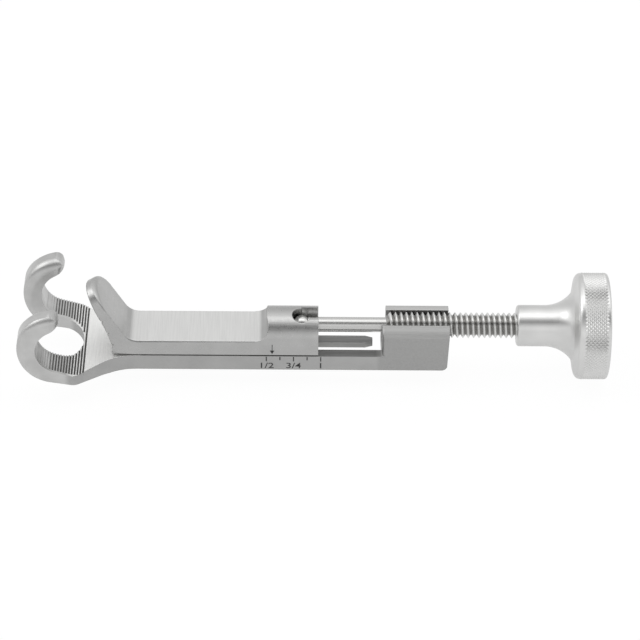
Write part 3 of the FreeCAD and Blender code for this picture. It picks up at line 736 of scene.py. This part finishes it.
def nut_turn(bm, start_x):
    """Ridge on the trough's floor that lies in one valley of the screw."""
    root = NUT_RADIUS + NUT_IN_WALL
    rings = []
    for k in range(NUT_COLUMNS + 1):
        share = k / NUT_COLUMNS
        degrees = NUT_START_ANGLE + (NUT_END_ANGLE - NUT_START_ANGLE) * share
        angle = math.radians(degrees)
        x = start_x + THREAD_PITCH * (NUT_VALLEY + degrees / 360)
        height = min(1.0, NUT_RUN_IN * min(share, 1 - share) + NUT_FIRST_HEIGHT)
        crest = root - (NUT_THREAD_DEPTH + NUT_IN_WALL) * height
        section = ((-NUT_THREAD_ROOT, root), (-NUT_THREAD_CREST, crest),
                   (NUT_THREAD_CREST, crest), (NUT_THREAD_ROOT, root))
        rings.append([around(x + side * THREAD_PITCH, radius, angle) for side, radius in section])
    loft(bm, rings)


def make_nut_thread():
    bm = bmesh.new()
    end_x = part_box("frame")[1].x - NUT_END_MARGIN
    reach = THREAD_PITCH * (NUT_VALLEY + NUT_THREAD_ROOT + NUT_END_ANGLE / 360)
    start_x = THREAD_START_X
    while start_x + reach < end_x:
        nut_turn(bm, start_x)
        start_x += THREAD_PITCH
    outward(bm)
    obj = to_object(bm, "half_nut_thread")
    smooth(obj, SCREW_SHARP_ANGLE)
    dress(obj, "frame_body", FRAME_STEEL)


# Sliding jaw, with its lower edges broken and its front lifted

def edge_cutter(low, high):
    """Bars that break both long edges under the jaw."""
    bm = bmesh.new()
    for edge_y, inward in ((low.y, 1), (high.y, -1)):
        outer_y = edge_y - inward * CUTTER_PAST
        corners = [
            (outer_y, low.z - CUTTER_PAST),
            (edge_y + inward * (JAW_EDGE + CUTTER_PAST), low.z - CUTTER_PAST),
            (outer_y, low.z + JAW_EDGE + CUTTER_PAST),
        ]
        bar_along(bm, corners, low.x - CUTTER_PAST, high.x + CUTTER_PAST)
    outward(bm)
    return to_object(bm, "edge_cutter")


def lead_cutter(low, high):
    """Wedge that lifts the jaw's underside at its front, where it runs on to the tines."""
    bm = bmesh.new()
    slope = JAW_LEAD_RISE / (JAW_LEAD_END_X - JAW_LEAD_START_X)
    rise = slope * (JAW_LEAD_END_X - JAW_LEAD_PAST_X)
    corners = [
        (JAW_LEAD_PAST_X, low.z - CUTTER_PAST),
        (JAW_LEAD_END_X, low.z - CUTTER_PAST),
        (JAW_LEAD_END_X, low.z),
        (JAW_LEAD_PAST_X, low.z + rise),
    ]
    bar_across(bm, corners, low.y - CUTTER_PAST, high.y + CUTTER_PAST)
    outward(bm)
    return to_object(bm, "lead_cutter")


def make_jaw():
    low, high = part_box("sliding_jaw")
    obj = mesh_copy("sliding_jaw", "fitted_jaw")
    cut(obj, edge_cutter(low, high))
    cut(obj, lead_cutter(low, high))
    smooth(obj, SHARP_ANGLE)
    keep_flats(obj)
    dress(obj, "carriage", JAW_STEEL)
    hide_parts("sliding_jaw")


# Foot screws, with their driver slots

def slot_cutter(low, high):
    """Bar across each screw's head."""
    bm = bmesh.new()
    radius = (high.y - low.y) / 2
    half = SLOT_WIDTH / 2
    corners = [
        (-half, low.z - SLOT_DEPTH), (half, low.z - SLOT_DEPTH),
        (half, low.z + SLOT_DEPTH), (-half, low.z + SLOT_DEPTH),
    ]
    for x in (low.x + radius, high.x - radius):
        bar_along(bm, corners, x - radius * SLOT_REACH, x + radius * SLOT_REACH)
    outward(bm)
    return to_object(bm, "slot_cutter")


def make_foot_screws():
    obj = mesh_copy("foot_screws", "slotted_foot_screws")
    cut(obj, slot_cutter(*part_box("foot_screws")))
    smooth(obj, FOOT_SCREW_SHARP_ANGLE)
    dress(obj, "carriage", FOOT_STEEL)
    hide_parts("foot_screws")


# Screw

def thread_radius_limit(x, start, top):
    """The thread rises out of the neck over a short chamfer."""
    return top - max(0.0, THREAD_DEPTH + start - x)


def thread_rows(bm, start, end, top):
    """Points of the helical sheet, row by row, clipped to flat ends."""
    steps = len(THREAD_PROFILE)
    turns = int((end - start) / THREAD_PITCH) + THREAD_SPARE_TURNS
    rows = []
    for j in range(turns * steps):
        share, height = THREAD_PROFILE[j % steps]
        row = []
        for i in range(THREAD_COLUMNS):
            angle = 2 * math.pi * i / THREAD_COLUMNS
            x = start + THREAD_PITCH * (j // steps - 1 + share + i / THREAD_COLUMNS)
            radius = top - THREAD_DEPTH * (1 - height)
            if x <= start or x >= end:
                x = min(max(x, start), end)
                radius = top - THREAD_DEPTH
            radius = min(radius, thread_radius_limit(x, start, top))
            row.append(bm.verts.new(around(x, radius, angle)))
        rows.append(row)
    return rows


def threaded_body(bm, start, end, top):
    """Helical sheet of the thread. After the last column it goes on one turn further along."""
    rows = thread_rows(bm, start, end, top)
    steps = len(THREAD_PROFILE)
    for j in range(len(rows) - 1):
        for i in range(THREAD_COLUMNS):
            a, b = rows[j][i], rows[j + 1][i]
            if i + 1 < THREAD_COLUMNS:
                c, d = rows[j + 1][i + 1], rows[j][i + 1]
            elif j + 1 + steps < len(rows):
                c, d = rows[j + 1 + steps][0], rows[j + steps][0]
            else:
                continue
            bm.faces.new([a, b, c, d])


def close_ends(bm):
    """Merges the rows that were clipped to one place, and closes what stays open."""
    bmesh.ops.remove_doubles(bm, verts=bm.verts, dist=THREAD_MERGE)
    bmesh.ops.dissolve_degenerate(bm, edges=bm.edges, dist=THREAD_MERGE)
    rim = [e for e in bm.edges if len(e.link_faces) == 1]
    bmesh.ops.holes_fill(bm, edges=rim, sides=0)
    outward(bm)


def make_screw():
    low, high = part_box("screw")
    hub_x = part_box("knob")[0].x
    neck_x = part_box("ball_end")[1].x + NECK_GAP
    head_end_x = low.x + NOSE_HEAD_LENGTH
    parts = (
        (neck_x, THREAD_START_X + NECK_IN_THREAD, NECK_RADIUS, NECK_COLUMNS),
        (low.x, head_end_x, NOSE_HEAD_RADIUS, NOSE_COLUMNS),
        (head_end_x - NOSE_IN_HEAD, neck_x + NOSE_IN_NECK, NOSE_RADIUS, NOSE_COLUMNS),
    )
    bm = bmesh.new()
    threaded_body(bm, THREAD_START_X, hub_x + SCREW_IN_HUB, high.z)
    close_ends(bm)
    for start, end, radius, columns in parts:
        turned(bm, [(start, radius), (end, radius)], columns)
    outward(bm)
    obj = to_object(bm, "threaded_screw")
    smooth(obj, SCREW_SHARP_ANGLE)
    dress(obj, "spindle", SCREW_STEEL)
    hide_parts("screw")


# Knob

def knob_profile(low, high):
    """Smooth part of the knob from the hub's front to the start of the knurling, as (x, radius)."""
    rim_x = high.x - RIM_LENGTH
    hub_end = low.x + HUB_LENGTH
    points = []
    for a in quarter(HUB_EDGE_STEPS):
        points.append((low.x + HUB_EDGE * (1 - math.cos(a)), HUB_RADIUS - HUB_EDGE * (1 - math.sin(a))))
    points.append((hub_end, HUB_RADIUS))
    turn = math.asin((rim_x - TRUMPET_SETBACK - hub_end) / TRUMPET_RADIUS)
    for k in range(1, TRUMPET_STEPS + 1):
        a = turn * k / TRUMPET_STEPS
        rise = TRUMPET_RADIUS * (1 - math.cos(a))
        points.append((hub_end + TRUMPET_RADIUS * math.sin(a), HUB_RADIUS + rise))
    face_radius = high.z - RIM_EDGE
    points.append((rim_x, face_radius))
    for a in quarter(RIM_EDGE_STEPS)[1:]:
        rise = (RIM_EDGE - RIM_DROP) * math.sin(a)
        points.append((rim_x + RIM_EDGE * (1 - math.cos(a)), face_radius + rise))
    return points


def knurl_rings(start, end, top, columns):
    """Rings of points and valleys in turn, each a step further round than the one before."""
    step = 2 * math.pi * top / columns
    rows = 2 * int((end - start) / step / 2)
    rings = []
    for j in range(1, rows):
        x = start + (end - start) * j / rows
        ring = []
        for i in range(columns):
            angle = 2 * math.pi * i / columns
            radius = top - (KNURL_DEPTH if (i + j) % 2 else 0.0)
            ring.append(around(x, radius, angle))
        rings.append(ring)
    return rings


def knurl_faces(bm, near, far, row):
    """Halves of four-sided points: each square is split from valley to valley."""
    count = len(near)
    for i in range(count):
        j = (i + 1) % count
        if (i + row) % 2:
            bm.faces.new([near[i], near[j], far[j]])
            bm.faces.new([near[i], far[j], far[i]])
        else:
            bm.faces.new([near[i], near[j], far[i]])
            bm.faces.new([far[j], far[i], near[j]])


def make_knob():
    low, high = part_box("knob")
    columns = 2 * KNURL_COUNT
    front = knob_profile(low, high)
    knurl_end = high.x - RIM_BACK_EDGE
    knurl = knurl_rings(front[-1][0], knurl_end, high.z, columns)
    back = []
    for a in quarter(RIM_EDGE_STEPS):
        radius = high.z - RIM_DROP - RIM_BACK_EDGE * (1 - math.cos(a))
        back.append((knurl_end + RIM_BACK_EDGE * math.sin(a), radius))
    bm = bmesh.new()
    rings = [circle(x, radius, columns) for x, radius in front] + knurl
    rings += [circle(x, radius, columns) for x, radius in back]
    rings = [[bm.verts.new(point) for point in ring] for ring in rings]
    first = len(front) - 1
    for number, (near, far) in enumerate(zip(rings, rings[1:])):
        if first <= number <= first + len(knurl):
            knurl_faces(bm, near, far, number - first)
        else:
            band(bm, near, far)
    bm.faces.new(rings[0])
    bm.faces.new(rings[-1][::-1])
    outward(bm)
    obj = to_object(bm, "knurled_knob")
    smooth(obj, KNOB_SHARP_ANGLE)
    for polygon in obj.data.polygons:
        if len(polygon.vertices) == 3:
            polygon.use_smooth = False
    dress(obj, "spindle", KNOB_STEEL)
    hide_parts("knob")


# Scale and arrow

def plate(bm, corners, y):
    """Thin plate through (x, z) corners on a face that looks to -Y."""
    bar_across(bm, corners, y - MARK_STAND, y + MARK_DEPTH)


def stroke(bm, x, width, bottom, top, y):
    """Upright stroke of a mark."""
    left = x - width / 2
    right = x + width / 2
    plate(bm, [(left, bottom), (right, bottom), (right, top), (left, top)], y)


def lettering(text, x, y):
    """Digits as a thin mesh, centred at x and facing -Y."""
    curve = bpy.data.curves.new("digits", "FONT")
    curve.body = text
    curve.size = DIGIT_SIZE
    curve.offset = DIGIT_BOLDNESS
    curve.align_x = "CENTER"
    curve.extrude = DIGIT_HALF_DEPTH
    curve.resolution_u = DIGIT_STEPS
    obj = link("digits", curve)
    obj.rotation_euler = (math.radians(90), 0, 0)
    obj.location = (x, y + DIGIT_HALF_DEPTH - MARK_STAND, DIGIT_FOOT_Z)
    obj.scale = (DIGIT_STRETCH, 1, 1)
    bpy.context.view_layer.update()
    graph = bpy.context.evaluated_depsgraph_get()
    mesh = bpy.data.meshes.new_from_object(obj.evaluated_get(graph))
    mesh.transform(obj.matrix_world)
    bpy.data.objects.remove(obj)
    return mesh


def tick_x(number):
    """Place of a tick, counted from the one inch mark towards the hooks."""
    return ONE_INCH_X - number * INCH / TICKS_PER_INCH


def make_scale():
    """Ticks an eighth of an inch apart, numbered by the quarter inch."""
    side_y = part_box("sliding_jaw")[0].y
    top = RUNWAY_Z - TICK_GAP
    bm = bmesh.new()
    for number in range(TICK_COUNT):
        length = SHORT_TICK if number % 2 else LONG_TICK
        stroke(bm, tick_x(number), TICK_WIDTH, top - length, top, side_y)
    for text, number in DIGITS:
        bm.from_mesh(lettering(text, tick_x(number), side_y))
    bmesh.ops.remove_doubles(bm, verts=bm.verts, dist=MERGE)
    outward(bm)
    dress(to_object(bm, "inch_scale"), "frame_body", MARK_INK)


def make_arrow():
    side_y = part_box("sliding_jaw")[0].y
    head_z = ARROW_TIP_Z + ARROW_HEAD_LENGTH
    half = ARROW_HEAD_WIDTH / 2
    bm = bmesh.new()
    stroke(bm, ARROW_X, ARROW_SHAFT, ARROW_TIP_Z + ARROW_IN_HEAD, ARROW_TOP_Z, side_y)
    plate(bm, [(ARROW_X - half, head_z), (ARROW_X, ARROW_TIP_Z), (ARROW_X + half, head_z)], side_y)
    outward(bm)
    dress(to_object(bm, "setting_arrow"), "carriage", MARK_INK)


make_frame()
make_nut_thread()
make_jaw()
make_foot_screws()
make_screw()
make_knob()
make_scale()
make_arrow()
paint(NODES["guide_foot"], FOOT_STEEL)
paint(NODES["ball_end"], BALL_STEEL)
paint(NODES["knob_pin"], KNOB_STEEL)


# Floor, light and camera

def floor_material():
    """Grey floor that is nearly white to the camera, and partly so in the steel, and keeps its shadow."""
    material = bpy.data.materials.new("floor_look")
    tree = new_tree(material)
    output = tree.nodes.new("ShaderNodeOutputMaterial")
    grey_floor = tree.nodes.new("ShaderNodeBsdfDiffuse")
    grey_floor.inputs["Color"].default_value = (FLOOR_COLOUR, FLOOR_COLOUR, FLOOR_COLOUR, 1)
    white = tree.nodes.new("ShaderNodeEmission")
    white.inputs["Strength"].default_value = FLOOR_WHITE
    path = tree.nodes.new("ShaderNodeLightPath").outputs
    mirrored = calculated(tree, "MAXIMUM", path["Is Glossy Ray"], path["Is Transmission Ray"])
    direct = calculated(tree, "MULTIPLY", path["Is Camera Ray"], FLOOR_WHITE_SHARE)
    mix = tree.nodes.new("ShaderNodeMixShader")
    tree.links.new(calculated(tree, "MULTIPLY_ADD", mirrored, FLOOR_SHINE, direct), mix.inputs[0])
    tree.links.new(grey_floor.outputs[0], mix.inputs[1])
    tree.links.new(white.outputs[0], mix.inputs[2])
    tree.links.new(mix.outputs[0], output.inputs["Surface"])
    return material


def make_floor():
    bm = bmesh.new()
    z = CAD_BOUNDS[0][2]
    corners = ((-1, -1), (1, -1), (1, 1), (-1, 1))
    bm.faces.new([bm.verts.new((x * FLOOR_SIZE, y * FLOOR_SIZE, z)) for x, y in corners])
    floor = to_object(bm, "floor")
    floor.data.materials.append(floor_material())


def make_world():
    """Light that changes only with the angle about the X axis, from the front horizon over the top."""
    world = bpy.data.worlds.new("studio")
    tree = new_tree(world)
    output = tree.nodes.new("ShaderNodeOutputWorld")
    background = tree.nodes.new("ShaderNodeBackground")
    direction = separate(tree, tree.nodes.new("ShaderNodeTexCoord").outputs["Generated"])
    forward = calculated(tree, "MULTIPLY", direction["Y"], -1.0)
    share = calculated(tree, "DIVIDE", calculated(tree, "ARCTAN2", direction["Z"], forward), math.pi)
    share.node.use_clamp = True
    ramp = tree.nodes.new("ShaderNodeValToRGB")
    elements = ramp.color_ramp.elements
    while len(elements) < len(SKY):
        elements.new(0.5)
    for element, (degrees, level) in zip(elements, SKY):
        element.position = degrees / 180
        element.color = (level, level, level, 1)
    background.inputs["Strength"].default_value = SKY_STRENGTH
    tree.links.new(share, ramp.inputs["Fac"])
    tree.links.new(ramp.outputs["Color"], background.inputs["Color"])
    tree.links.new(background.outputs[0], output.inputs["Surface"])
    bpy.context.scene.world = world


def aim(obj, place, target):
    obj.location = place
    direction = Vector(target) - Vector(place)
    obj.rotation_euler = direction.to_track_quat("-Z", "Y").to_euler()


def make_lamps():
    for name, place, width, depth, power in LAMPS:
        light = bpy.data.lights.new(name, "AREA")
        light.shape = "RECTANGLE"
        light.size = width
        light.size_y = depth
        light.energy = power
        aim(link(name, light), place, (0, 0, 0))


def make_camera():
    camera = bpy.data.cameras.new("camera")
    camera.sensor_width = SENSOR_WIDTH
    camera.lens = SENSOR_WIDTH * PIXELS_PER_MM * CAMERA_DISTANCE / MM / PICTURE_SIZE
    camera.clip_start = CAMERA_NEAR
    camera.clip_end = CAMERA_FAR
    obj = link("camera", camera)
    elevation = math.radians(CAMERA_ELEVATION)
    azimuth = math.radians(CAMERA_AZIMUTH)
    level = Vector((-math.sin(azimuth), -math.cos(azimuth), 0))
    back = level * math.cos(elevation) + Vector((0, 0, math.sin(elevation)))
    up = Vector((0, 0, math.cos(elevation))) - level * math.sin(elevation)
    centre = Vector((AIM_X, 0, 0))
    aim(obj, centre + back * CAMERA_DISTANCE, centre + up * AIM_RISE)
    obj.rotation_euler.rotate_axis("Z", math.radians(CAMERA_ROLL))
    bpy.context.scene.camera = obj


make_floor()
make_world()
make_lamps()
make_camera()
bpy.context.scene.view_settings.view_transform = "Standard"
